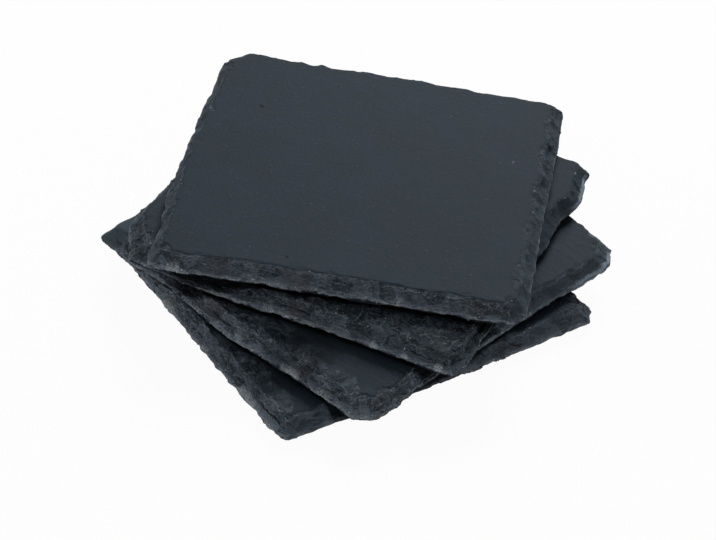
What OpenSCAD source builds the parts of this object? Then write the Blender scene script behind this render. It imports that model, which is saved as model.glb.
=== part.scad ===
// Set of four square slate coasters, fanned out in a stack.
// Each coaster is a split slab of slate with hand-chipped edges that slope up and inwards,
// and four round foam pads stuck to its underside. The coasters lie loose on one another.
// Origin: centre of the whole stack's outline, on the table. +X runs along the front edge
// of the top coaster, +Y away from its front edge, +Z up. Millimetres.

/* [Slate] */
// Side of each square slate
side = 100; // [80:1:140]
// Thickness of each slate
thickness = 5; // [4:0.25:8]

/* [Chipped edge] */
// How far the chipped slope reaches in from the outline
slope_run = 3.1; // [2:0.1:5]
// Height of the rough rim below the slope
rim_height = 1.1; // [0.8:0.1:2]
// How far the rim leans in over its height
rim_lean = 0.5; // [0.2:0.1:1]
// How far the lower edge is broken back
arris_run = 0.4; // [0.2:0.1:1]
// Height of the broken lower edge
arris_height = 0.5; // [0.3:0.1:0.9]
// How far one chip bites into the top face
chip_depth = 1.5; // [0.5:0.1:2]
// Length of one chip along the edge
chip_length = 11; // [7:0.5:20]
// How far the outline wanders in and out
outline_wander = 1.1; // [0.3:0.1:2]
// How rough the outline is from point to point
outline_rough = 0.5; // [0.1:0.05:0.8]

/* [Foam pads] */
// Diameter of a pad
pad_d = 10; // [6:0.5:12]
// Thickness of a pad, which is also the gap between two slates
pad_h = 1.5; // [0.8:0.1:3]
// From the slate's edges to the middle of a pad
pad_inset = 15; // [12:0.5:25]

/* [Edge detail] */
// Points along each edge of a slate
edge_steps = 28; // [12:1:36]
// Start value of the random chipping
chip_seed = 41; // [1:1:200]

/* [Hidden] */
slate_colour = "#3a4147";
pad_colour = "#1b1b1d";
pad_fn = 64;
full_turn = 360;

// Coasters from the table up, and the corners and edges of each in its own frame, anticlockwise.
// Edge k runs from corner k to the next corner.
COASTERS = ["bottom", "second", "third", "top"];
CORNERS = ["front_left", "front_right", "back_right", "back_left"];
EDGES = ["front", "right", "back", "left"];

// Each slate was cut by hand, so its width and depth are shares of the side.
cut_size_shares = [[0.95, 0.998], [1.004, 1.02], [1, 0.997], [0.998, 1]];
// What is broken off each corner, in the order of CORNERS, as shares of the side:
// along the edge that comes to the corner, then along the edge that leaves it.
corner_cut_shares = [
    [[0.070, 0.050], [0.016, 0.016], [0.030, 0.038], [0.030, 0.030]],
    [[0.020, 0.026], [0.034, 0.036], [0.046, 0.034], [0.028, 0.028]],
    [[0.125, 0.067], [0.016, 0.036], [0.014, 0.014], [0.034, 0.034]],
    [[0.030, 0.026], [0.030, 0.040], [0.014, 0.030], [0.044, 0.048]],
];
// Stretches that were cut wide or narrow of the straight line: coaster, edge, then the place of
// the middle, the reach to each side and the distance outward, as shares of the side.
swell_shares = [
    ["top", "front", 0.06, 0.30, 0.011],
    ["top", "front", 0.28, 0.35, 0.006],
    ["top", "back", 0.22, 0.35, -0.007],
    ["top", "left", 0.92, 0.25, -0.020],
    ["third", "front", 0.30, 0.32, 0.009],
    ["third", "right", 0.62, 0.12, 0.004],
    ["third", "right", 0.85, 0.11, 0.021],
    ["second", "front", 0.13, 0.16, 0.010],
    ["second", "front", 0.54, 0.26, 0.014],
    ["second", "right", 0.06, 0.12, 0.012],
    ["second", "right", 0.90, 0.14, 0.010],
    ["second", "back", 0.14, 0.16, 0.022],
    ["second", "left", 0.95, 0.16, -0.027],
    ["bottom", "right", 0.60, 0.60, 0.006],
];
// Middle of each slate from the middle of the top one, as shares of the side.
centre_shares = [[-0.001, -0.168], [0.017, -0.116], [-0.001, -0.050], [0, 0]];
// How far each slate is turned from the top one, in degrees.
fan_turns = [-46.6, -34.0, -14.5, 0];

// Where the middle of the hollow slope lies, as shares of its run and of its rise.
slope_middle_run_share = 0.46;
slope_middle_rise_share = 0.36;
// The straight line lies this deep between a ridge and the bottom of a chip, or in a wander.
chip_mean_share = 0.45;
wander_mean_share = 0.45;
rough_mean_share = 0.5;
// Depth of the shallowest chip, as a share of the deepest.
shallow_chip_share = 0.45;
// The chips grow longer and shorter along an edge: how much, and over how many chips.
chip_drift_share = 0.3;
chips_per_drift = 2.7;
// Where the first chip starts moves on by these shares of a chip from coaster to coaster and edge to edge.
coaster_shift_share = 0.37;
edge_shift_share = 0.61;
// Points to each side that a slowly changing value is averaged over.
slow_reach = 3;
// Room between the start values of two coasters' random numbers.
seeds_per_coaster = 10;

corner_count = len(CORNERS);
points_per_edge = edge_steps + 1;
points_per_ring = corner_count * points_per_edge;
rise_start = arris_height + rim_height;

function slate_name(i) = str(COASTERS[i], "_slate");
function pad_name(i, k) = str(COASTERS[i], "_pad_", CORNERS[k]);

// Half width and half depth of slate i.
function half_size(i) = cut_size_shares[i] * side / 2;
// Height of the underside of slate i.
function underside(i) = pad_h + i * (thickness + pad_h);
function turned(p, a) = [p.x * cos(a) - p.y * sin(a), p.x * sin(a) + p.y * cos(a)];
function sum(v, n = 0) = n >= len(v) ? 0 : v[n] + sum(v, n + 1);

// Signs that take a half size to corner k.
function corner_sign(k) = [[-1, -1], [1, -1], [1, 1], [-1, 1]][k % corner_count];
// Direction out of edge k, and direction along it, which is the direction out of the next edge.
function outward(k) = [[0, -1], [1, 0], [0, 1], [-1, 0]][k % corner_count];
function along(k) = outward(k + 1);

// Random values for ring r of slate i, one for each point.
function ring_noise(i, r) = rands(0, 1, points_per_ring, chip_seed + seeds_per_coaster * i + r);
// The same values, averaged over neighbours so that they change slowly.
function slow_noise(values) = [
    for (n = [0 : points_per_ring - 1])
        sum([for (m = [-slow_reach : slow_reach]) values[(n + m + points_per_ring) % points_per_ring]])
            / (2 * slow_reach + 1)
];

// How far edge k of slate i was cut outside its line, at a share u of its length.
function swell_at(i, k, u) = side * sum([
    for (s = swell_shares)
        if (s[0] == COASTERS[i] && s[1] == EDGES[k] && abs(u - s[2]) < s[3])
            s[4] * pow(cos(full_turn / 4 * (u - s[2]) / s[3]), 2)
]);

// Depth of the chips at a distance x along edge k, from 0 on a ridge to 1 in a deep chip.
function chip_at(i, k, x, depths) =
    let (shift = i * coaster_shift_share + k * edge_shift_share)
    let (drift = chip_drift_share * sin(full_turn * (x / chip_length / chips_per_drift + shift)))
    let (phase = x / chip_length + shift + drift)
    let (depth = depths[floor(phase) % points_per_ring])
    abs(sin(full_turn / 2 * phase)) * (shallow_chip_share + (1 - shallow_chip_share) * depth);

// Closed outline of slate i, drawn in by inset, with every corner broken off.
// bites gives how much further in each point lies.
function ring(i, inset, z, bites) = [
    for (k = [0 : corner_count - 1]) for (j = [0 : edge_steps])
        let (half = half_size(i) - [inset, inset])
        let (here = corner_sign(k), next = corner_sign(k + 1))
        let (start_cut = corner_cut_shares[i][k][1] * side)
        let (end_cut = corner_cut_shares[i][(k + 1) % corner_count][0] * side)
        let (start = [here.x * half.x, here.y * half.y] + along(k) * start_cut)
        let (end = [next.x * half.x, next.y * half.y] - along(k) * end_cut)
        let (p = start + (end - start) * j / edge_steps - outward(k) * bites[k * points_per_edge + j])
        [p.x, p.y, z]
];

// How far each point of the rim lies inside the straight outline.
function rim_bites(i) =
    let (rough = ring_noise(i, 0), slow = slow_noise(ring_noise(i, 1)))
    [for (k = [0 : corner_count - 1]) for (j = [0 : edge_steps])
        let (n = k * points_per_edge + j)
        outline_wander * (slow[n] - wander_mean_share)
            + outline_rough * (rough[n] - rough_mean_share)
            - swell_at(i, k, j / edge_steps)];

// How far each point of the slope lies inside its straight line, for a share of the full chip depth.
function slope_bites(i, r, share) =
    let (rough = ring_noise(i, r), depths = ring_noise(i, 2), rim = rim_bites(i))
    [for (k = [0 : corner_count - 1]) for (j = [0 : edge_steps])
        let (n = k * points_per_edge + j)
        let (x = side * j / edge_steps)
        rim[n] + share * chip_depth * (chip_at(i, k, x, depths) - chip_mean_share)
            + share * outline_rough * (rough[n] - rough_mean_share)];

// The slate is a closed skin over five rings, from the underside up to the flat top face.
function slate_rings(i) = [
    ring(i, arris_run, 0, rim_bites(i)),
    ring(i, 0, arris_height, rim_bites(i)),
    ring(i, rim_lean, rise_start, rim_bites(i)),
    ring(i, rim_lean + (slope_run - rim_lean) * slope_middle_run_share,
        rise_start + (thickness - rise_start) * slope_middle_rise_share,
        slope_bites(i, 3, slope_middle_run_share)),
    ring(i, slope_run, thickness, slope_bites(i, 4, 1)),
];

// Two triangles for each step between ring r and the ring above it.
function wall_faces(r) = [
    for (n = [0 : points_per_ring - 1])
        let (m = (n + 1) % points_per_ring)
        let (low = r * points_per_ring, high = low + points_per_ring)
        each [[low + n, high + n, high + m], [low + n, high + m, low + m]]
];

module skin(rings) {
    count = len(rings);
    last = (count - 1) * points_per_ring;
    polyhedron(
        points = [for (one = rings) each one],
        faces = concat(
            [[for (n = [0 : points_per_ring - 1]) n]],
            [for (r = [0 : count - 2]) each wall_faces(r)],
            [[for (n = [points_per_ring - 1 : -1 : 0]) last + n]]
        ),
        convexity = 4
    );
}

// Outline of slate i as it lies in the fan, before the whole stack is centred.
function placed_outline(i) = [
    for (p = ring(i, 0, 0, rim_bites(i))) turned([p.x, p.y], fan_turns[i]) + centre_shares[i] * side
];
fan_points = [for (i = [0 : len(COASTERS) - 1]) each placed_outline(i)];
fan_x = [for (p = fan_points) p.x];
fan_y = [for (p = fan_points) p.y];
fan_middle = [(min(fan_x) + max(fan_x)) / 2, (min(fan_y) + max(fan_y)) / 2];

// Places its children, drawn in coaster i's own frame, where that coaster lies in the stack.
module in_fan(i) {
    at = centre_shares[i] * side - fan_middle;
    translate([at.x, at.y, underside(i)]) rotate(fan_turns[i]) children();
}

// One slab of split slate, with its chipped slopes facing up.
module slate(i) {
    color(slate_colour) in_fan(i) skin(slate_rings(i));
}

// One foam pad, stuck to the underside of slate i near corner k.
module pad(i, k) {
    at = half_size(i) - [pad_inset, pad_inset];
    color(pad_colour) in_fan(i)
        translate([corner_sign(k).x * at.x, corner_sign(k).y * at.y, -pad_h])
            cylinder(d = pad_d, h = pad_h, $fn = pad_fn);
}

for (i = [0 : len(COASTERS) - 1]) {
    slate(i);
    for (k = [0 : corner_count - 1])
        pad(i, k);
}
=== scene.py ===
import math

import bmesh
import bpy
import numpy as np
from mathutils import Matrix, Quaternion, Vector
from mathutils.bvhtree import BVHTree
from mathutils.kdtree import KDTree


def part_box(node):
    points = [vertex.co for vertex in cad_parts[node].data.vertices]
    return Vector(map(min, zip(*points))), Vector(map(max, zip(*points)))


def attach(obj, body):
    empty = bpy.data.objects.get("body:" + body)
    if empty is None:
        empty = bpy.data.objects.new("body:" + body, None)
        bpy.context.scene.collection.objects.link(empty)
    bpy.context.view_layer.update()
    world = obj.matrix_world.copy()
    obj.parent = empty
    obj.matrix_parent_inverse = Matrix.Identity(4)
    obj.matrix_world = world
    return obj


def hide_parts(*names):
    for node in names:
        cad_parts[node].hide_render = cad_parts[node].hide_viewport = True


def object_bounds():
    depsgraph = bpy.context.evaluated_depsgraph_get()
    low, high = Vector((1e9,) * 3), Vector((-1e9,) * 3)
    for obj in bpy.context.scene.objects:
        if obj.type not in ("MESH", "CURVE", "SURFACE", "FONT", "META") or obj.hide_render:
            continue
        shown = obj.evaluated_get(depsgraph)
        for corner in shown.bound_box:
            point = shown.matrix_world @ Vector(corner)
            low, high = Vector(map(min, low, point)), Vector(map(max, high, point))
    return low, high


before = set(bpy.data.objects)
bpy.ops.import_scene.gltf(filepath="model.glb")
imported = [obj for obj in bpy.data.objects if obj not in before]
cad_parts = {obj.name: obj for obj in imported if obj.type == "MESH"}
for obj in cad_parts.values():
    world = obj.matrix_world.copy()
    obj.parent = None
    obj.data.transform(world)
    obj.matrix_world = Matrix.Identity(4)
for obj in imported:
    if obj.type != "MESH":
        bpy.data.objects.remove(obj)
cad_low, cad_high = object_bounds()


# Slate slabs
# Each coaster is a slab of slate, split from its block along the cleavage and then trimmed by hand.
# Blows from below break shell-shaped flakes off the upper edge, so all four edges slope up and
# inwards, and the two split faces keep a faint relief. The four slabs lie loose on one another.
COASTERS = ("bottom", "second", "third", "top")
CORNERS = ("front_left", "front_right", "back_right", "back_left")
EDGES = ("front", "right", "back", "left")
MM = 0.001
merge_gap = 0.001 * MM
lattice = np.random.default_rng(5).uniform(-1, 1, (32, 32, 32))


def smooth_noise(points, size):
    """Smooth noise from -1 to 1, from random values at the corners of a lattice of this size."""
    steps = points / size
    cell = np.floor(steps).astype(int)
    t = steps - cell
    t = t * t * (3 - 2 * t)
    total = np.zeros(len(points))
    for corner in np.ndindex(2, 2, 2):
        weight = np.prod(np.where(corner, t, 1 - t), axis=1)
        total += weight * lattice[tuple(((cell + corner) % len(lattice)).T)]
    return total


def rough_noise(points, size, octaves):
    """The same noise with finer and fainter noise added on top of it."""
    levels = [smooth_noise(points + 7 * n * MM, size / 2.1 ** n) / 1.8 ** n for n in range(octaves)]
    return sum(levels) / 1.4


def box_middle(node):
    low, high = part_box(node)
    return (low + high) / 2


def slab_frame(coaster):
    """The slab's own frame: its middle on its underside, with x along its front edge."""
    pads = {corner: box_middle(f"{coaster}_pad_{corner}") for corner in CORNERS}
    middle = sum(pads.values(), Vector()) / len(pads)
    front = pads["front_right"] - pads["front_left"]
    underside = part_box(f"{coaster}_slate")[0].z
    place = Matrix.Translation((middle.x, middle.y, underside))
    return place @ Matrix.Rotation(math.atan2(front.y, front.x), 4, "Z")


def sawn_slab(coaster, place):
    """A copy of the slab's CAD solid in its own frame, with its corners merged."""
    slab = bmesh.new()
    slab.from_mesh(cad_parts[f"{coaster}_slate"].data)
    bmesh.ops.remove_doubles(slab, verts=slab.verts, dist=merge_gap)
    slab.transform(place.inverted())
    slab.normal_update()
    return slab


point_step = 0.3 * MM


def points_along(slab, chosen, flat=False):
    """Points close together along the chosen edges of a slab, ready to find the nearest one."""
    points = []
    for edge in filter(chosen, slab.edges):
        start, end = (v.co for v in edge.verts)
        count = max(int(edge.calc_length() / point_step), 1)
        points += [start.lerp(end, n / count) for n in range(count)]
    tree = KDTree(len(points))
    for n, point in enumerate(points):
        tree.insert((point.x, point.y, 0) if flat else point, n)
    tree.balance()
    return tree


face_slack = 0.01 * MM
brink_angle = 0.3


def brink_of(slab, height):
    """The brink, where the top face breaks off into the slope."""
    def on_brink(edge):
        on_face = min(v.co.z for v in edge.verts) > height - face_slack
        return on_face and edge.calc_face_angle(0) > brink_angle
    return points_along(slab, on_brink)


rim_low, rim_high = 0.3 * MM, 0.8 * MM


def rim_above(number, place):
    """The outline, seen from above, of the slab that lies on this one, in this one's frame."""
    upper = sawn_slab(COASTERS[number + 1], place)
    underside = min(v.co.z for v in upper.verts)

    def on_rim(edge):
        return all(rim_low < v.co.z - underside < rim_high for v in edge.verts)
    return points_along(upper, on_rim, flat=True)


def edge_places(points, half):
    """The edge that each point is nearest to, and how far along it the point lies, from 0 to 1."""
    x, y = (points[:, :2] / half).T
    edge = np.stack((1 + y, 1 - x, 1 - y, 1 + x)).argmin(axis=0)
    return edge, np.choose(edge, (x, y, -x, -y)) / 2 + 0.5


fade_share = 0.05


def along_stretches(stretches, edge, share):
    """The strength at each point of stretches given as edge, start, end and strength."""
    total = np.zeros(len(share))
    for name, start, end, strength in stretches:
        inside = np.clip((share - start) / fade_share, 0, 1) * np.clip((end - share) / fade_share, 0, 1)
        total = np.maximum(total, strength * inside * (edge == EDGES.index(name)))
    return total


# The even mesh: its size, and how far in from the brink it is cut finer, by itself or as a share of
# how far the layers tore off. What lies within top_band of the top counts as face, and what lies
# within foot_band of the underside isn't cut finer.
even_size = 1.0 * MM
finer_cuts = 3
brink_reach = 2.6 * MM
finer_share = 0.6
top_band, foot_band = 0.3 * MM, 0.05 * MM


def even_slab(slab, brink, height, torn):
    """The same slab with an even mesh, made finer on the slope, the rim and most of the torn faces."""
    mesh = bpy.data.meshes.new("even_slab")
    slab.to_mesh(mesh)
    carrier = bpy.data.objects.new("even_slab", mesh)
    bpy.context.scene.collection.objects.link(carrier)
    remesh = carrier.modifiers.new("even", "REMESH")
    remesh.mode = "VOXEL"
    remesh.voxel_size = even_size
    ready = carrier.evaluated_get(bpy.context.evaluated_depsgraph_get())
    even = bmesh.new()
    even.from_mesh(ready.to_mesh())
    bpy.data.objects.remove(carrier)
    points = np.array([v.co for v in even.verts])
    gaps = np.array([brink.find(v.co)[2] for v in even.verts])
    edge, share = edge_places(points, np.abs(points[:, :2]).max(axis=0))
    reach = np.maximum(brink_reach, finer_share * along_stretches(torn, edge, share) * MM)
    on_top = points[:, 2] > height - top_band
    fine = np.where(on_top, gaps < reach, points[:, 2] > foot_band)
    edges = [e for e in even.edges if all(fine[v.index] for v in e.verts)]
    bmesh.ops.subdivide_edges(even, edges=edges, cuts=finer_cuts, use_grid_fill=True)
    return even


# Each kind of flake: how many along one edge, the half length that it breaks out, how deep it
# goes, how far up the slope it sits (0 at the rim, 1 at the top face) and how far it looks up.
shell_flakes = dict(count=6, reach=(2.2, 4.5), depth=(0.18, 0.42), up=(0.2, 0.8), tilt=(0.38, 0.52))
small_flakes = dict(count=34, reach=(0.8, 2.1), depth=(0.08, 0.26), up=(0.1, 0.95), tilt=(0.3, 0.6))
face_flakes = dict(count=24, reach=(0.6, 1.7), depth=(0.05, 0.14), up=(0.95, 1.1), tilt=(0.75, 0.95))
brink_nicks = dict(count=20, reach=(0.7, 2.2), depth=(0.1, 0.34), up=(0.86, 1.0), tilt=(0.35, 0.7))
rim_nicks = dict(count=34, reach=(0.4, 1.4), depth=(0.10, 0.32), up=(-0.45, 0.1), tilt=(-0.1, 0.3))
edge_outs = (Vector((0, -1, 0)), Vector((1, 0, 0)), Vector((0, 1, 0)), Vector((-1, 0, 0)))


def break_flake(points, middle, axes, radii, deepest):
    """Moves the points inside an ellipsoid out to its skin, as a blow breaks a shell-shaped flake off."""
    near = np.abs(points - middle).max(axis=1) < max(radii)
    local = (points[near] - middle) @ axes.T / radii
    reach = np.linalg.norm(local, axis=1)
    inside = (reach < 1) & (reach > 0.05)
    local[inside] /= reach[inside][:, None]
    move = (local * radii) @ axes + middle - points[near]
    length = np.linalg.norm(move, axis=1)
    points[near] += move * (np.minimum(length, deepest) / np.maximum(length, 1e-9))[:, None]


def break_flakes(points, skin, half, height, flakes, calm, chance):
    """Breaks one kind of flake off along all four edges of a slab, and fewer on its calm stretches."""
    for k, out in enumerate(edge_outs):
        along = edge_outs[(k + 1) % len(edge_outs)]
        half_along = half[0] if along.x else half[1]
        for _ in range(flakes["count"]):
            s = chance.uniform(-half_along, half_along)
            up = chance.uniform(*flakes["up"])
            z = min(max(0.3 + 0.7 * up, 0.08), 0.985) * height
            start = along * s + out * 2 * max(half) + Vector((0, 0, z))
            hit = skin.ray_cast(start, -out)[0]
            reach = chance.uniform(*flakes["reach"]) * MM
            depth = chance.uniform(*flakes["depth"]) * MM
            tilt = chance.uniform(*flakes["tilt"]) * math.pi / 2
            skew = chance.uniform(-0.25, 0.25)
            kept = chance.uniform() > along_stretches(calm, k, np.array([0.5 + s / half_along / 2]))[0]
            if hit is None or not kept:
                continue
            hit = hit - out * max(0, up - 0.985) * 8 * MM
            normal = (out * math.cos(tilt) + Vector((0, 0, math.sin(tilt))) + along * skew).normalized()
            side = normal.cross(Vector((0, 0, 1))).normalized()
            rise = side.cross(normal)
            deep = max(depth * 2.2, reach * 0.9)
            widen = 1 / math.sqrt(1 - (1 - depth / deep) ** 2)
            radii = np.array((reach * widen, deep, reach * widen * chance.uniform(0.4, 0.7)))
            middle = hit + normal * (deep - depth)
            break_flake(points, np.array(middle), np.array((side, normal, rise)), radii, 1.3 * depth)


# The faces' relief, the ledges and the crumbs: how deep they are, and how wide or high.
face_relief, relief_size = 0.10 * MM, 24 * MM
ledge_depth, ledge_height, thin_ledge_height = 0.22 * MM, 0.7 * MM, 0.4 * MM
crumb_depth, crumb_size = 0.42 * MM, 2.4 * MM
worn_depth = 0.04 * MM
rim_height, rim_width = 0.1 * MM, 3 * MM
edge_start, edge_fade = 0.05 * MM, 0.4 * MM
corner_reach = 4 * MM


def roughen(points, half, height, shift, calm):
    """Leaves the broken layers standing as ledges on the worked edges, and a faint relief on the faces."""
    place = points + (shift, 0, 0)
    z = points[:, 2]
    low_face = (z < rim_height) & (np.abs(points[:, :2]) < half - rim_width).all(axis=1)
    worked = np.clip((height - z - edge_start) / edge_fade, 0, 1) * ~low_face
    relief = 0.5 + 0.5 * rough_noise(place, relief_size, 4)
    z -= (1 - worked) * ~low_face * face_relief * relief
    z += low_face * face_relief * relief
    ledge = smooth_noise(place / (5, 5, 1), ledge_height)
    ledge += 0.6 * smooth_noise(place / (3, 3, 1), thin_ledge_height)
    crumb = rough_noise(place / (1, 1, 0.6), crumb_size, 4)
    push = worked * (ledge_depth * ledge + crumb_depth * crumb - worn_depth) * (1 - 0.6 * calm)
    lean = np.clip((np.abs(points[:, :2]) - half) / corner_reach + 1.5, 0.01, 1) ** 3
    lean /= np.linalg.norm(lean, axis=1)[:, None]
    points[:, :2] += np.sign(points[:, :2]) * lean * push[:, None]


def neighbour_means(ends, points):
    """The middle of each point's neighbours, for the pairs of points that the mesh's edges join."""
    here, there = np.concatenate((ends, ends[:, ::-1])).T
    count = np.bincount(here, minlength=len(points))
    sums = [np.bincount(here, weights=points[there, axis], minlength=len(points)) for axis in range(3)]
    return np.stack(sums, axis=1) / count[:, None]


ridge_full = 0.04 * MM


def ridge_heights(mesh, ends, points):
    """How far each point stands proud of its neighbours: 1 on a sharp ridge and -1 in a cleft."""
    normals = np.array([v.vector for v in mesh.vertex_normals])
    proud = ((points - neighbour_means(ends, points)) * normals).sum(axis=1)
    return np.clip(proud / ridge_full, -1, 1)


def shade_above(number, place, mesh, points):
    """How far each point is under, or near, the rim of the slab above: widely, and right at it.
    The two masks place the painted shade.
    """
    if number + 1 == len(COASTERS):
        return np.zeros(len(points)), np.zeros(len(points))
    rim = rim_above(number, place)
    nearest = np.array([rim.find((v.co.x, v.co.y, 0))[0] for v in mesh.vertices])
    out = nearest - (nearest.max(axis=0) + nearest.min(axis=0)) / 2
    out /= np.linalg.norm(out, axis=1)[:, None]
    to_rim = (nearest - points) * (1, 1, 0)
    cover = np.linalg.norm(to_rim, axis=1) * np.sign((to_rim * out).sum(axis=1)) / MM
    turn = np.array(place.to_3x3())
    # No painted shade under rims that face left, where the left lamp lights them.
    painted_shade_side = 1 - np.clip((-(out @ turn.T)[:, 0] - 0.72) / 0.1, 0, 1)
    return painted_shade_side * np.clip(1 + cover / 3, 0, 1), painted_shade_side * np.clip((cover - 0.5) / 0.9, 0, 1)


def add_attribute(mesh, name, kind, values):
    field = "vector" if kind == "FLOAT_VECTOR" else "value"
    mesh.attributes.new(name, kind, "POINT").data.foreach_set(field, values.astype(np.float32).ravel())


def mesh_points(mesh):
    """The places of a mesh's points, and the pairs of points that its edges join."""
    points = np.empty(len(mesh.vertices) * 3)
    mesh.vertices.foreach_get("co", points)
    ends = np.empty(len(mesh.edges) * 2, int)
    mesh.edges.foreach_get("vertices", ends)
    return points.reshape(-1, 3), ends.reshape(-1, 2)


# The torn zones: how deep they go, how narrow they get, and how large their bays and crests are.
deepest_tear = 0.45 * MM
least_reach, narrowest_tear = 0.5 * MM, 0.6 * MM
bay_size, crest_size = 9 * MM, 5 * MM
bay_shift, crest_shift = 5 * MM, 9 * MM


def tear_layers(points, brink_gap, width, height, seed):
    """Sinks the torn zones behind the brink, and says how torn each point is, from 0 to 1."""
    reach = np.maximum(width * MM, least_reach)
    bay = 0.7 + 0.5 * rough_noise(points + seed * bay_shift, bay_size, 3)
    ripped = np.clip(1.5 * (1.1 - brink_gap / (reach * bay)), 0, 1) * (points[:, 2] > height / 2)
    ripped *= reach > narrowest_tear
    crest = 1 - np.abs(rough_noise(points + seed * crest_shift, crest_size, 3))
    points[:, 2] -= ripped * np.minimum(0.12 * reach, deepest_tear) * (1 - crest ** 3)
    return ripped


soft_brink_rounds = 24


def soften_brink(points, ends, brink_gap, calm):
    """Rounds the brink a little, and more where the edge broke smoothly."""
    near_brink = np.clip(1.6 - brink_gap / ((1.2 + 1.2 * calm) * MM), 0, 1)
    for _ in range(soft_brink_rounds):
        points += (near_brink * (0.25 + 0.6 * calm))[:, None] * (neighbour_means(ends, points) - points)


def inside_cad_box(coaster, place, points):
    """The points, held inside the box of the slab's CAD solid."""
    low, high = (np.array(corner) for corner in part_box(f"{coaster}_slate"))
    turn = np.array(place.to_3x3())
    return (np.clip(points @ turn.T + place.translation, low, high) - place.translation) @ turn


first_seed = 11
seed_shift = 17 * MM


def dressed_slab(number, looks):
    """One slab with its worked edges and split faces, as a mesh in the shared frame."""
    coaster = COASTERS[number]
    seed = first_seed + number
    place = slab_frame(coaster)
    sawn = sawn_slab(coaster, place)
    height = max(v.co.z for v in sawn.verts)
    brink = brink_of(sawn, height)
    skin = BVHTree.FromBMesh(sawn)
    even = even_slab(sawn, brink, height, looks["torn"])
    for v in even.verts:
        v.co = skin.find_nearest(v.co)[0]
    mesh = bpy.data.meshes.new(f"{coaster}_slab")
    even.to_mesh(mesh)

    # The shape: a soft brink, flakes, ledges and torn layers
    points, ends = mesh_points(mesh)
    half = np.abs(points[:, :2]).max(axis=0)
    brink_gap = np.array([brink.find(v.co)[2] for v in mesh.vertices])
    edge, share = edge_places(points, half)
    calm = along_stretches(looks["calm"], edge, share)
    soften_brink(points, ends, brink_gap, calm)
    chance = np.random.default_rng(seed)
    for flakes in (shell_flakes, small_flakes, face_flakes, brink_nicks, rim_nicks):
        break_flakes(points, skin, half, height, flakes, looks["calm"], chance)
    points[:, 2] = np.clip(points[:, 2], 0, height)
    roughen(points, half, height, seed * seed_shift, calm)
    torn = tear_layers(points, brink_gap, along_stretches(looks["torn"], edge, share), height, seed)
    points = inside_cad_box(coaster, place, points)
    mesh.vertices.foreach_set("co", points.ravel())
    mesh.update()

    # What the finish reads from the mesh
    below = (height - points[:, 2]) / MM
    worked = np.clip((below - 0.12) / 0.3, 0, 1) * np.clip((points[:, 2] / MM - 0.15) / 0.3, 0, 1)
    # Masks that place the painted shade under the slab above
    painted_shade_under_rim, painted_shade_at_rim = shade_above(number, place, mesh, points)
    fields = dict(painted_shade_under_rim=painted_shade_under_rim, painted_shade_at_rim=painted_shade_at_rim, worked=worked, torn=torn, calm=calm,
                  fresh_highlight=along_stretches(looks["fresh_highlight"], edge, share), brink_gap=brink_gap / MM,
                  ridge=ridge_heights(mesh, ends, points))
    for name, values in fields.items():
        add_attribute(mesh, name, "FLOAT", values)
    add_attribute(mesh, "slab_place", "FLOAT_VECTOR", points / MM)
    mesh.transform(place)
    mesh.polygons.foreach_set("use_smooth", [True] * len(mesh.polygons))
    return mesh


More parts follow.
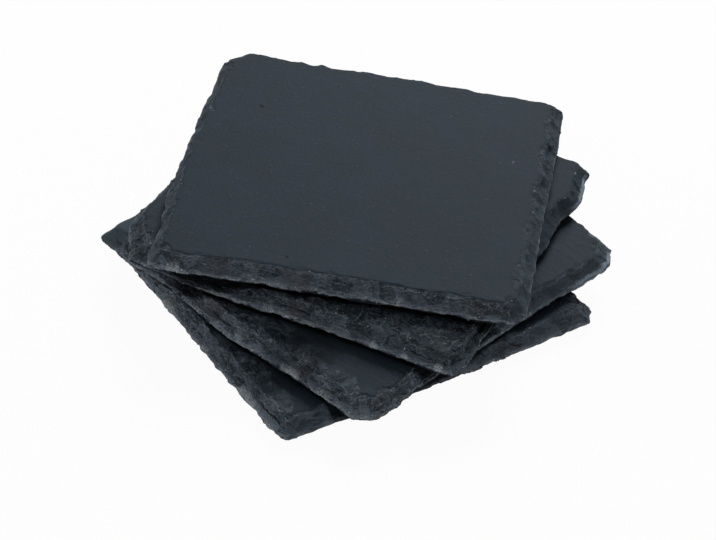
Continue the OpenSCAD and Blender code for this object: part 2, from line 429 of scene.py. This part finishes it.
class Finish:
    """The nodes of a material, or of the world, with short ways to add them and join them."""

    def __init__(self, owner):
        owner.use_nodes = True
        self.owner = owner
        self.tree = owner.node_tree
        self.shader = self.tree.nodes.get("Principled BSDF")

    def put(self, socket, value):
        if isinstance(value, bpy.types.NodeSocket):
            self.tree.links.new(value, socket)
        elif value is not None:
            socket.default_value = value

    def node(self, kind, settings=None, **inputs):
        made = self.tree.nodes.new(kind)
        for key, value in (settings or {}).items():
            setattr(made, key, value)
        for key, value in inputs.items():
            self.put(made.inputs[key.replace("_", " ")], value)
        return made

    def read(self, name, output="Fac"):
        return self.node("ShaderNodeAttribute", {"attribute_name": name}).outputs[output]

    def noise(self, vector, size, detail=3.0, roughness=0.55, distortion=0.0):
        made = self.node("ShaderNodeTexNoise", Vector=vector, Scale=1 / size, Detail=detail,
                         Roughness=roughness, Distortion=distortion)
        return made.outputs["Fac"]

    def math(self, operation, *values):
        made = self.node("ShaderNodeMath", {"operation": operation})
        for socket, value in zip(made.inputs, values):
            self.put(socket, value)
        return made.outputs[0]

    def times(self, one, other):
        return self.math("MULTIPLY", one, other)

    def plus(self, one, other):
        return self.math("ADD", one, other)

    def bend(self, vector, size, amount):
        """The vector, pushed about by noise of this size."""
        push = self.node("ShaderNodeTexNoise", Vector=vector, Scale=1 / size, Detail=2.0).outputs["Color"]
        centred = self.vectors("SUBTRACT", push, (0.5, 0.5, 0.5)).outputs[0]
        return self.vectors("MULTIPLY_ADD", centred, (amount, amount, amount), vector).outputs[0]

    def plan(self, vector, size, amount):
        """The place as seen from above, pushed about by noise of this size."""
        bent = self.bend(vector, size, amount)
        return self.node("ShaderNodeMapping", Vector=bent, Scale=(1, 1, 0)).outputs[0]

    def vectors(self, operation, *values):
        made = self.node("ShaderNodeVectorMath", {"operation": operation})
        for socket, value in zip(made.inputs, values):
            self.put(socket, value)
        return made

    def cells(self, vector, size, feature="F1"):
        """Cells of this size: the distance from each one's middle, or edge, and its random number."""
        made = self.node("ShaderNodeTexVoronoi", {"feature": feature}, Vector=vector, Scale=1 / size)
        if feature != "F1":
            return made.outputs["Distance"]
        number = self.node("ShaderNodeSeparateColor", Color=made.outputs["Color"]).outputs[0]
        return made.outputs["Distance"], number

    def dots(self, vector, size, zone):
        """Crisp dots, in as large a share of the cells of this size as the zone says."""
        distance, number = self.cells(vector, size)
        return self.times(self.math("LESS_THAN", number, zone), self.remap(distance, 0.42, 0.28))

    def spot(self, vector, middle, radius):
        """1 within this distance of a place, fading out just beyond it."""
        gap = self.vectors("DISTANCE", vector, middle).outputs["Value"]
        return self.remap(gap, radius * 1.2, radius * 0.7)

    def remap(self, value, start, end, low=0.0, high=1.0):
        made = self.node("ShaderNodeMapRange", {"interpolation_type": "SMOOTHSTEP"})
        for socket, number in zip(made.inputs, (value, start, end, low, high)):
            self.put(socket, number)
        return made.outputs[0]

    def mix(self, share, one, other, blend="MIX"):
        made = self.node("ShaderNodeMix", {"data_type": "RGBA", "blend_type": blend})
        self.put(made.inputs[0], share)
        self.put(made.inputs[6], one)
        self.put(made.inputs[7], other)
        return made.outputs[2]

    def bump(self, height, depth, strength=1.0, under=None):
        made = self.node("ShaderNodeBump", Height=height, Distance=depth, Strength=strength, Normal=under)
        return made.outputs[0]


def srgb(red, green, blue):
    """A colour as seen on a screen, from 0 to 255, as the shader's own linear values."""
    def linear(c):
        c = c / 255
        return c / 12.92 if c <= 0.04045 else ((c + 0.055) / 1.055) ** 2.4
    return (linear(red), linear(green), linear(blue), 1)


split_blue = srgb(43, 53, 62)
split_dark = srgb(39, 47, 54)
worn_grey = srgb(54, 62, 69)
smooth_painted_light_grey = srgb(56, 65, 72)
pale_grey = srgb(68, 77, 84)
# A dark for the slate's own dark layers, chips and pits, and for painted shade and shadow.
dark_and_painted_shade = srgb(17, 20, 25)
broken_dark = srgb(44, 51, 58)
broken_light = srgb(86, 96, 105)
rust_brown = srgb(70, 69, 74)
# Pale stone dust, also used for the painted highlight on ridges and swirls
dust_and_highlight = srgb(114, 122, 129)
# Paler stone of fresh breaks, brightened further as a painted highlight
fresh_highlight_grey = srgb(128, 141, 152)
mica_light = srgb(178, 184, 188)
# How far the painted shade looks for the slab above
painted_shade_reach = 8 * MM
streak_grey = srgb(64, 72, 76)
scuff_grey = srgb(70, 78, 84)
# The near black of the painted shade
painted_shade_black = (0.001, 0.001, 0.0015, 1)
torn_shade = (0.88, 0.88, 0.88, 1)
shell_size, chip_size = 3.6, 1.3
face_roughness, edge_roughness = (0.62, 0.62, 0.62, 1), (0.8, 0.8, 0.8, 1)
# Each kind of mark's colour and strength. The dim marks are painted shadow, on faces that the slab above
# shades.
mark_colours = {"pit": (dark_and_painted_shade, 0.9), "flake": (mica_light, 0.5), "scar": (mica_light, 0.7),
                "brown": (rust_brown, 0.5), "pale": (pale_grey, 0.75), "painted_shadow": (dark_and_painted_shade, 0.45)}


class SplitSlate(Finish):
    """Split slate: even blue-grey faces, and mottled broken edges with pale ridges and dust."""

    def __init__(self, coaster, looks):
        super().__init__(bpy.data.materials.new(f"{coaster}_split_slate"))
        self.looks = looks
        self.place = self.read("slab_place", "Vector")
        self.height = self.node("ShaderNodeSeparateXYZ", Vector=self.place).outputs[2]
        self.worked, self.ridge = self.read("worked"), self.read("ridge")
        self.calm, self.fresh_highlight = self.read("calm"), self.read("fresh_highlight")
        self.add_patterns()
        self.add_zones()
        colour = self.mix(self.torn, self.face_colour(), self.torn_colour())
        colour = self.mix(self.edge, colour, self.broken_colour())
        colour = self.with_smooth_breaks(colour)
        colour = self.with_rim(colour)
        colour = self.with_flecks(colour)
        colour = self.with_shock_rings(colour)
        colour = self.with_marks(colour)
        colour = self.with_painted_shade(colour)
        self.put(self.shader.inputs["Base Color"], colour)
        self.put(self.shader.inputs["Roughness"], self.mix(self.edge, face_roughness, edge_roughness))
        self.shader.inputs["Specular IOR Level"].default_value = 0.03
        self.put(self.shader.inputs["Normal"], self.fine_relief())

    def add_patterns(self):
        """The grain of this slab, which runs its own way, at every size from clouds to crumbs."""
        turn = self.looks["turn"]
        own = self.node("ShaderNodeMapping", Vector=self.place, Location=(turn * 7, turn * 3, 0),
                        Rotation=(0, 0, turn)).outputs[0]
        layers = self.node("ShaderNodeMapping", Vector=own, Scale=(0.5, 0.5, 1.8)).outputs[0]
        self.own = own
        self.cloud = self.noise(own, 16, 4)
        self.patch = self.noise(own, 4, 4, 0.6)
        self.grain = self.noise(own, 0.7, 4, 0.65)
        self.fine = self.noise(own, 0.28, 3, 0.7)
        self.ledges = self.noise(layers, 1.2, 5, 0.7)
        self.scuffs = self.remap(self.noise(self.bend(own, 3, 1.5), 1.3, 3, 0.6), 0.56, 0.68)
        self.bent = self.bend(own, 3.5, 2.6)
        self.shell, self.shell_number = self.cells(self.bent, shell_size)
        self.chip, self.chip_number = self.cells(self.bent, chip_size)
        swirl = self.math("ABSOLUTE", self.math("SUBTRACT", self.noise(own, 5.0, 1.5, 0.5, 1.4), 0.5))
        curl = self.math("ABSOLUTE", self.math("SUBTRACT", self.noise(own, 2.2, 2, 0.5, 0.9), 0.5))
        swirls = self.math("MAXIMUM", self.remap(swirl, 0.025, 0.0), self.remap(curl, 0.03, 0.0, 0.0, 0.7))
        self.swirls = self.times(swirls, self.remap(self.noise(own, 6, 2), 0.4, 0.6))

    def add_zones(self):
        """How far each place belongs to the edge, the torn zone, the brink and the rim."""
        self.wander = self.remap(self.patch, 0.3, 0.7, -0.3, 0.3)
        edge = self.remap(self.plus(self.worked, self.wander), 0.3, 0.75)
        self.edge = self.times(edge, self.remap(self.calm, 0, 1, 1, 0.35))
        self.torn = self.remap(self.read("torn"), 0.1, 0.7, 0, self.looks["rip"])
        self.near_brink = self.remap(self.read("brink_gap"), 1.0, 0.1)
        self.near_rim = self.remap(self.height, 1.9, 0.9)
        self.upper = self.remap(self.height, 0.2, 0.8)

    def face_colour(self):
        """The split faces, with scuffs and streaks."""
        face = self.mix(self.remap(self.cloud, 0.3, 0.7, 0, 0.6), split_blue, split_dark)
        face = self.mix(self.remap(self.grain, 0.35, 0.75, 0, 0.5), face, worn_grey)
        face = self.mix(self.times(self.scuffs, 0.22), face, scuff_grey)
        drawn_out = self.node("ShaderNodeMapping", Vector=self.bend(self.place, 12, 3.0),
                              Rotation=(0, 0, -0.6), Scale=(0.09, 1, 1)).outputs[0]
        streaks = self.remap(self.noise(drawn_out, 1.1, 4, 0.65), 0.42, 0.66)
        return self.mix(self.times(streaks, self.looks["streak"]), face, streak_grey)

    def torn_colour(self):
        """The torn zones: dark layers with pale patches, and a painted highlight on swirls and ridges."""
        torn = self.mix(self.remap(self.shell_number, 0.2, 0.8, 0, 0.8), split_dark, dark_and_painted_shade)
        torn = self.mix(self.remap(self.patch, 0.42, 0.62, 0, 0.75), torn, broken_light)
        # A painted highlight on the swirls and the ridges
        swirl_highlight = self.times(self.swirls, self.remap(self.grain, 0.25, 0.5, 0.1, 1))
        torn = self.mix(swirl_highlight, torn, dust_and_highlight)
        torn = self.mix(self.remap(self.ridge, 0.1, 0.8, 0, 0.7), torn, dust_and_highlight)
        return self.mix(1.0, torn, torn_shade, "MULTIPLY")

    def broken_colour(self):
        """The broken edges: mottled flakes and ledges, dust, a painted highlight on the ridges and
        painted shade in the clefts, and painted light low on the rim and under the brink.
        """
        broken = self.mix(self.remap(self.shell_number, 0.1, 0.9), broken_dark, broken_light)
        broken = self.mix(self.remap(self.chip_number, 0.5, 1.0, 0, 0.35), broken, dark_and_painted_shade)
        broken = self.mix(self.remap(self.ledges, 0.3, 0.7, 0, 0.5), broken, broken_light)
        rust = self.remap(self.noise(self.own, 10, 3), 0.52, 0.62, 0, 0.6)
        broken = self.mix(rust, broken, rust_brown)
        broken = self.mix(self.remap(self.fine, 0.5, 0.75, 0, 0.35), broken, dust_and_highlight)
        shell_rims = self.remap(self.cells(self.bent, shell_size, "DISTANCE_TO_EDGE"), 0.07, 0.0)
        shell_rims = self.times(shell_rims, self.remap(self.noise(self.own, 2.2, 2), 0.5, 0.62))
        dusty_rims = self.times(shell_rims, self.remap(self.grain, 0.3, 0.7, 0.1, 0.8))
        broken = self.mix(dusty_rims, broken, dust_and_highlight)
        # A painted highlight on the ridges and painted shade in the clefts
        broken = self.mix(self.remap(self.ridge, 0.15, 0.9, 0, 0.7), broken, dust_and_highlight)
        broken = self.mix(self.remap(self.ridge, -0.15, -0.9, 0, 0.6), broken, dark_and_painted_shade)
        # Painted light: lighter low on the rim and again just under the brink, scaled by the slab's tone
        tone = self.looks["tone"]
        painted_light_climb = self.plus(self.remap(self.height, 0.8, 3.2, 1.3 * tone, 0.85 * tone),
                          self.remap(self.height, 3.6, 4.7, 0, 0.25 * tone))
        return self.mix(1.0, broken, painted_light_climb, "MULTIPLY")

    def with_smooth_breaks(self, colour):
        """Dark scallops along the brink, and one plain grey where the edge broke smoothly,
        with painted light: lighter than the faces, and lightest low on the rim.
        """
        scallop = self.remap(self.noise(self.own, 1.6, 2), 0.54, 0.62, 0, 0.4)
        scallop = self.times(self.near_brink, scallop)
        scallop = self.times(scallop, self.remap(self.calm, 0, 1, 1, 0.2))
        colour = self.mix(scallop, colour, broken_dark)
        # Painted light: the smooth breaks are lighter than the faces, most of all low on the rim
        tone = self.looks["tone"]
        lift = self.remap(self.height, 0.8, 3.6, 1.15 * tone, 1.05 * tone)
        smooth = self.mix(1.0, smooth_painted_light_grey, lift, "MULTIPLY")
        smooth_break = self.times(self.worked, self.remap(self.calm, 0.2, 0.9, 0, 0.8))
        return self.mix(smooth_break, colour, smooth)

    def with_rim(self, colour):
        """The crushed rim with painted shade at its foot, and the pale bands of the fresh breaks,
        which are partly a painted highlight.
        """
        crushed = self.times(self.near_rim, self.remap(self.patch, 0.4, 0.62, 0.0, 0.55))
        colour = self.mix(self.times(crushed, self.worked), colour, dust_and_highlight)
        # Painted shade along the foot of the rim
        ragged_height = self.plus(self.height, self.times(self.wander, 0.6))
        foot_shade = self.remap(ragged_height, 0.75, 0.4, 0, self.looks["painted_foot_shade"])
        colour = self.mix(self.times(foot_shade, self.remap(self.height, 0.0, 0.1)), colour, dark_and_painted_shade)
        # Pale bands where the break is fresh: partly paler stone, partly a painted highlight along the rim
        uneven_height = self.plus(self.height, self.wander)
        bevel = self.times(self.fresh_highlight, self.remap(uneven_height, 2.3, 1.9))
        bands = self.math("SINE", self.times(uneven_height, 5.0))
        return self.mix(self.times(bevel, self.remap(bands, -0.9, 0.7, 0.35, 1)), colour, fresh_highlight_grey)

    def with_flecks(self, colour):
        """Flecks of mica along the rims, the brinks and the torn zones, and a few on the faces."""
        flaky = self.math("MAXIMUM", self.times(self.near_rim, 0.9), self.times(self.near_brink, 0.45))
        flaky = self.times(flaky, self.remap(self.patch, 0.45, 0.62, 0.0, 0.4))
        flaky_tear = self.times(self.torn, self.remap(self.cloud, 0.45, 0.6, 0.0, 0.05))
        flaky = self.math("MAXIMUM", flaky, flaky_tear)
        flaky = self.times(flaky, self.math("MAXIMUM", self.worked, self.torn))
        face_flecks = self.times(self.dots(self.own, 0.7, 0.0008), 0.2)
        flecks = self.math("MAXIMUM", self.dots(self.bent, 0.5, flaky), face_flecks)
        return self.mix(self.times(flecks, 0.65), colour, mica_light)

    def with_shock_rings(self, colour):
        """Faint dusty rings around the places where a blow fell."""
        rounded_plan = self.plan(self.place, 5, 2.4)
        for middle, radius in self.looks["ripples"]:
            gap = self.vectors("DISTANCE", rounded_plan, (*middle, 0)).outputs["Value"]
            waves = self.math("SINE", self.times(self.plus(gap, self.wander), 5.0))
            crests = self.remap(waves, 0.1, 0.95, 0, 0.36)
            rings = self.times(crests, self.remap(self.cloud, 0.4, 0.6, 0.4, 1))
            rings = self.times(rings, self.spot(rounded_plan, (*middle, 0), radius))
            colour = self.mix(self.times(rings, self.upper), colour, dust_and_highlight)
        return colour

    def with_marks(self, colour):
        """Single marks. Flakes and scars are broken up into crumbs, and scars keep to the lower rim."""
        ragged_plan = self.plan(self.place, 1.4, 1.6)
        zones = dict.fromkeys(mark_colours, self.upper)
        zones["flake"] = self.times(self.upper, self.remap(self.fine, 0.48, 0.62))
        crumbs = self.times(self.remap(self.fine, 0.42, 0.58), self.remap(self.patch, 0.36, 0.5, 0.4, 1))
        zones["scar"] = self.times(crumbs, self.times(self.upper, self.remap(self.height, 2.9, 1.5)))
        zones["brown"] = self.times(self.upper, self.edge)
        for kind, middle, radius in self.looks["marks"]:
            mark_colour, strength = mark_colours[kind]
            mark = self.times(self.spot(ragged_plan, (*middle, 0), radius), zones[kind])
            colour = self.mix(self.times(mark, strength), colour, mark_colour)
        return colour

    def with_painted_shade(self, colour):
        """Painted shade where the slab above covers this one closely, darkest in the gap right at its rim.
        """
        facing = self.node("ShaderNodeNewGeometry").outputs["Normal"]
        lifted = self.vectors("NORMALIZE", self.vectors("ADD", facing, (0, 0, 0.8)).outputs[0]).outputs[0]
        open_sky = self.node("ShaderNodeAmbientOcclusion", {"samples": 8}, Distance=painted_shade_reach,
                             Normal=lifted).outputs["AO"]
        painted_gap_shade = self.times(self.remap(open_sky, 0.72, 0.38, 0, 0.45), self.read("painted_shade_under_rim"))
        painted_rim_shade = self.times(self.remap(open_sky, 0.85, 0.55, 0, 0.97), self.read("painted_shade_at_rim"))
        return self.mix(self.math("MAXIMUM", painted_gap_shade, painted_rim_shade), colour, painted_shade_black)

    def fine_relief(self):
        """Relief too fine for the mesh: leathery faces, chipped edges and wrinkled torn zones."""
        leather = self.bump(self.plus(self.grain, self.times(self.fine, 0.5)), 0.07 * MM, 0.9)
        dents = self.bump(self.scuffs, 0.06 * MM, 0.8, leather)
        swell = self.bump(self.noise(self.own, 4.5, 4), 0.14 * MM, 0.8, dents)
        rough = self.plus(self.times(self.shell, 1.3), self.times(self.chip, 0.2))
        rough = self.plus(rough, self.times(self.ledges, 0.4))
        rough = self.plus(rough, self.times(self.fine, 0.15))
        chipped = self.bump(rough, self.times(self.edge, 0.45 * MM), 1.0, swell)
        wrinkles = self.plus(self.times(self.swirls, 0.6), self.noise(self.own, 2.4, 5, 0.6, 0.5))
        return self.bump(wrinkles, self.times(self.torn, 0.6 * MM), 1.0, chipped)


# Each slab's own looks. turn is the way its grain runs, in radians. streak and rip are how strong the
# streaks on its face and the swirls in its torn zones are, tone is how light its edges are, and
# painted_foot_shade how dark the painted shade at the foot of its rim is. torn, calm and fresh are
# stretches of
# an edge, from start to end: where layers tore off, with their width, where it broke smoothly, and
# where the break is still fresh and its rim gets a painted highlight. ripples are shock rings, and
# marks are single marks, each with its middle and radius.
# Lengths are in millimetres, from the slab's middle.
slab_looks = {
    "bottom": dict(
        turn=0.9, streak=0.15, rip=0.4, tone=1.15, painted_foot_shade=0.2,
        torn=[("front", -0.1, 1.1, 8.0)],
        calm=[("right", -0.1, 1.1, 0.45)],
        fresh_highlight=[],
        ripples=[((42.5, 43.0), 6.0)],
        marks=[("flake", (20.5, -44.8), 1.0), ("pit", (42.9, -50.6), 1.2), ("painted_shadow", (14.0, -41.0), 8.0),
               ("painted_shadow", (30.0, -41.0), 8.0), ("scar", (-10.6, -49.4), 2.4), ("scar", (9.0, -49.3), 1.6),
               ("scar", (29.6, -49.6), 3.6)],
    ),
    "second": dict(
        turn=2.1, streak=0.35, rip=0.5, tone=1.08, painted_foot_shade=0.85,
        torn=[("front", 0.1, 1.1, 9.0)],
        calm=[("left", 0.82, 1.1, 1.0), ("front", -0.1, 0.14, 0.9), ("right", 0.5, 1.1, 0.55)],
        fresh_highlight=[("right", 0.76, 1.02, 1.0)],
        ripples=[],
        # The pale mark at the front left corner is painted light.
        marks=[("pale", (-47.5, -47.0), 6.5), ("painted_shadow", (24.0, -44.8), 9.0), ("brown", (-3.6, -48.0), 4.0),
               ("scar", (24.7, -51.0), 3.2), ("scar", (7.4, -50.6), 2.0), ("scar", (36.6, -51.2), 2.4),
               ("flake", (50.1, -39.1), 0.8)],
    ),
    "third": dict(
        turn=3.4, streak=0.1, rip=0.95, tone=0.78, painted_foot_shade=0.85,
        torn=[("front", -0.1, 1.1, 14.0), ("right", -0.1, 0.4, 10.0)],
        calm=[("right", 0.5, 1.1, 0.95)],
        fresh_highlight=[("right", 0.78, 0.97, 1.0)],
        ripples=[],
        marks=[("scar", (26.6, -49.9), 1.2), ("scar", (35.2, -49.7), 0.9), ("scar", (44.4, -49.1), 1.2),
               ("scar", (-2.6, -50.6), 1.8)],
    ),
    "top": dict(
        turn=5.0, streak=0.0, rip=0.2, tone=0.88, painted_foot_shade=0.85,
        torn=[("right", -0.1, 1.1, 2.2)],
        calm=[("right", -0.1, 1.1, 0.6), ("left", -0.1, 1.1, 0.5)],
        fresh_highlight=[],
        ripples=[],
        marks=[("pit", (-33.2, 21.3), 0.7), ("pit", (-12.6, -43.3), 0.6), ("pit", (47.4, 25.8), 1.0),
               ("flake", (38.8, 14.4), 0.4), ("flake", (45.8, 3.1), 0.4), ("flake", (45.1, -14.9), 0.4),
               ("flake", (45.4, -30.5), 0.4), ("scar", (-40.5, -50.6), 1.7), ("scar", (16.6, -49.4), 1.2),
               ("brown", (-29.5, -48.8), 3.0), ("brown", (-9.5, -47.8), 3.5)],
    ),
}

for number, coaster in enumerate(COASTERS):
    shape = dressed_slab(number, slab_looks[coaster])
    slab = bpy.data.objects.new(f"{coaster}_slab", shape)
    bpy.context.scene.collection.objects.link(slab)
    slab.data.materials.append(SplitSlate(coaster, slab_looks[coaster]).owner)
    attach(slab, f"{coaster}_coaster")
    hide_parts(f"{coaster}_slate")


# Foam pads
# Each slab stands on four round pads, die-cut from black closed-cell foam with a self-adhesive
# back. The knife draws the foam in a little, so the cut side is hollow and its rims are soft.
pad_sides = 72
pad_edge = 0.18 * MM
pad_waist = 0.15 * MM
pore_size = 0.35 * MM
foam_black, foam_grey, foam_dust = srgb(16, 16, 17), srgb(34, 34, 36), srgb(44, 44, 46)


def foam_finish():
    """Closed-cell foam: nearly black and matt, with fine open pores where it was cut."""
    foam = Finish(bpy.data.materials.new("black_foam"))
    place = foam.node("ShaderNodeTexCoord").outputs["Object"]
    pores = foam.node("ShaderNodeTexVoronoi", Vector=place, Scale=1 / pore_size).outputs["Distance"]
    cloud = foam.noise(place, 2.5 * MM, 3)
    colour = foam.mix(foam.remap(pores, 0.1, 0.5), foam_black, foam_grey)
    colour = foam.mix(foam.remap(cloud, 0.3, 0.7, 0, 0.4), colour, foam_dust)
    foam.put(foam.shader.inputs["Base Color"], colour)
    foam.put(foam.shader.inputs["Roughness"], foam.remap(pores, 0.0, 0.6, 0.95, 0.8))
    foam.shader.inputs["Specular IOR Level"].default_value = 0.08
    foam.put(foam.shader.inputs["Normal"], foam.bump(pores, 0.08 * MM, 0.8))
    return foam.owner


def foam_pad(node):
    """A round pad that fills its CAD solid's box, with soft rims and a waisted side."""
    low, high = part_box(node)
    middle = (low + high) / 2
    radius = (high.x - low.x) / 2
    half_height = (high.z - low.z) / 2
    pad = bmesh.new()
    bmesh.ops.create_cone(pad, cap_ends=True, segments=pad_sides, radius1=radius, radius2=radius,
                          depth=2 * half_height, matrix=Matrix.Translation(middle))
    upright = [e for e in pad.edges if abs(e.verts[0].co.z - e.verts[1].co.z) > MM / 2]
    bmesh.ops.subdivide_edges(pad, edges=upright, cuts=3)
    rims = [e for e in pad.edges if all(abs(v.co.z - middle.z) > 0.9 * half_height for v in e.verts)]
    bmesh.ops.bevel(pad, geom=rims, offset=pad_edge, offset_type="OFFSET", segments=3, profile=0.5,
                    affect="EDGES", material=-1)
    for v in pad.verts:
        waist = 1 - ((v.co.z - middle.z) / half_height) ** 2
        flat = Vector((v.co.x - middle.x, v.co.y - middle.y, 0))
        if flat.length > radius / 2:
            v.co -= flat.normalized() * waist * pad_waist
    caps = [f for f in pad.faces if len(f.verts) > 4]
    bmesh.ops.inset_region(pad, faces=caps, thickness=radius / 3)
    mesh = bpy.data.meshes.new(f"{node}_foam")
    bmesh.ops.recalc_face_normals(pad, faces=pad.faces)
    pad.to_mesh(mesh)
    mesh.polygons.foreach_set("use_smooth", [True] * len(mesh.polygons))
    return bpy.data.objects.new(f"{node}_foam", mesh)


black_foam = foam_finish()
for coaster in COASTERS:
    for corner in CORNERS:
        pad = foam_pad(f"{coaster}_pad_{corner}")
        bpy.context.scene.collection.objects.link(pad)
        pad.data.materials.append(black_foam)
        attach(pad, f"{coaster}_coaster")
        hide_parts(f"{coaster}_pad_{corner}")


# Table and background
# The set stands on a plain white table that runs on as a white background. The table shows white
# to the camera and keeps only a faint trace of the set's shadow, as in a product photograph.
table_size = 6.0
table_gap = 0.02 * MM
shadow_share = 0.04
wall_level, ceiling_level, wall_top = 0.5, 0.03, 0.4


def seen_white(finish):
    """1 for rays that reach the camera, straight, mirrored or through a clear piece, and 0 for light."""
    path = finish.node("ShaderNodeLightPath").outputs
    mirrored = finish.math("MAXIMUM", path["Is Glossy Ray"], path["Is Transmission Ray"])
    return finish.math("MAXIMUM", path["Is Camera Ray"], mirrored)


table_mesh = bpy.data.meshes.new("table")
table_shape = bmesh.new()
bmesh.ops.create_grid(table_shape, x_segments=1, y_segments=1, size=table_size / 2,
                      matrix=Matrix.Translation((0, 0, -table_gap)))
table_shape.to_mesh(table_mesh)
table = bpy.data.objects.new("table", table_mesh)
bpy.context.scene.collection.objects.link(table)
white = Finish(bpy.data.materials.new("white_table"))
white.shader.inputs["Base Color"].default_value = (0.8, 0.8, 0.8, 1)
white.shader.inputs["Roughness"].default_value = 0.9
white.shader.inputs["Specular IOR Level"].default_value = 0.0
glow = white.node("ShaderNodeEmission", Strength=1.0)
blend = white.node("ShaderNodeMixShader")
white.put(blend.inputs[0], white.times(seen_white(white), 1 - shadow_share))
white.put(blend.inputs[1], white.shader.outputs[0])
white.put(blend.inputs[2], glow.outputs[0])
white.put(white.tree.nodes["Material Output"].inputs["Surface"], blend.outputs[0])
table.data.materials.append(white.owner)

studio = Finish(bpy.data.worlds.new("studio"))
bpy.context.scene.world = studio.owner
look = studio.node("ShaderNodeTexCoord").outputs["Generated"]
look_up = studio.node("ShaderNodeSeparateXYZ", Vector=look).outputs[2]
walls = studio.remap(look_up, 0.0, wall_top, wall_level, ceiling_level)
mixed = studio.node("ShaderNodeMix")
for socket, value in zip(mixed.inputs[:1] + mixed.inputs[2:4], (seen_white(studio), walls, 1.0)):
    studio.put(socket, value)
background = studio.tree.nodes["Background"]
background.inputs["Color"].default_value = (1, 1, 1, 1)
studio.put(background.inputs["Strength"], mixed.outputs[0])


# Lamps
# Three soft boxes. The main one hangs over the back of the table and leaves deep soft shadows in
# front of each slab. A long low one in front and a smaller one on the left light the broken edges.
set_middle = (cad_low + cad_high) / 2


def soft_box(name, azimuth, elevation, distance, size, power):
    """A lamp that faces the set; its azimuth is counted from the front, anticlockwise from above."""
    turn, lift = math.radians(azimuth), math.radians(elevation)
    away = Vector((math.sin(turn) * math.cos(lift), -math.cos(turn) * math.cos(lift), math.sin(lift)))
    light = bpy.data.lights.new(name, "AREA")
    light.shape = "RECTANGLE"
    light.size, light.size_y = size
    light.energy = power
    lamp = bpy.data.objects.new(name, light)
    lamp.location = set_middle + away * distance
    lamp.rotation_mode = "QUATERNION"
    lamp.rotation_quaternion = (-away).to_track_quat("-Z", "Y")
    bpy.context.scene.collection.objects.link(lamp)


soft_box("back_box", azimuth=175, elevation=37, distance=1.4, size=(0.6, 0.6), power=22)
soft_box("front_box", azimuth=5, elevation=10, distance=0.8, size=(0.9, 0.12), power=2.2)
soft_box("left_box", azimuth=-85, elevation=22, distance=1.0, size=(0.5, 0.3), power=2.4)


# Camera
# It stands in front of the set, a little to its right and well above it, with a long lens, and is
# turned slightly about its own axis, as the photograph is.
view_azimuth = math.radians(6.75)
view_elevation = math.radians(38.47)
view_roll = math.radians(5.51)
view_distance = 0.5372
aim_from_top_slate = Vector((0.003703, -0.026134))
aim_height = 0.012
film_width, focal_length = 36, 102.5

top_middle = slab_frame("top").translation
aim = Vector((top_middle.x + aim_from_top_slate.x, top_middle.y + aim_from_top_slate.y, aim_height))
back = Vector((math.sin(view_azimuth) * math.cos(view_elevation),
               -math.cos(view_azimuth) * math.cos(view_elevation), math.sin(view_elevation)))
camera = bpy.data.objects.new("camera", bpy.data.cameras.new("camera"))
camera.data.sensor_width = film_width
camera.data.lens = focal_length
camera.location = aim + back * view_distance
camera.rotation_mode = "QUATERNION"
camera.rotation_quaternion = (-back).to_track_quat("-Z", "Y") @ Quaternion((0, 0, 1), view_roll)
bpy.context.scene.collection.objects.link(camera)
bpy.context.scene.camera = camera
bpy.context.scene.view_settings.view_transform = "Standard"
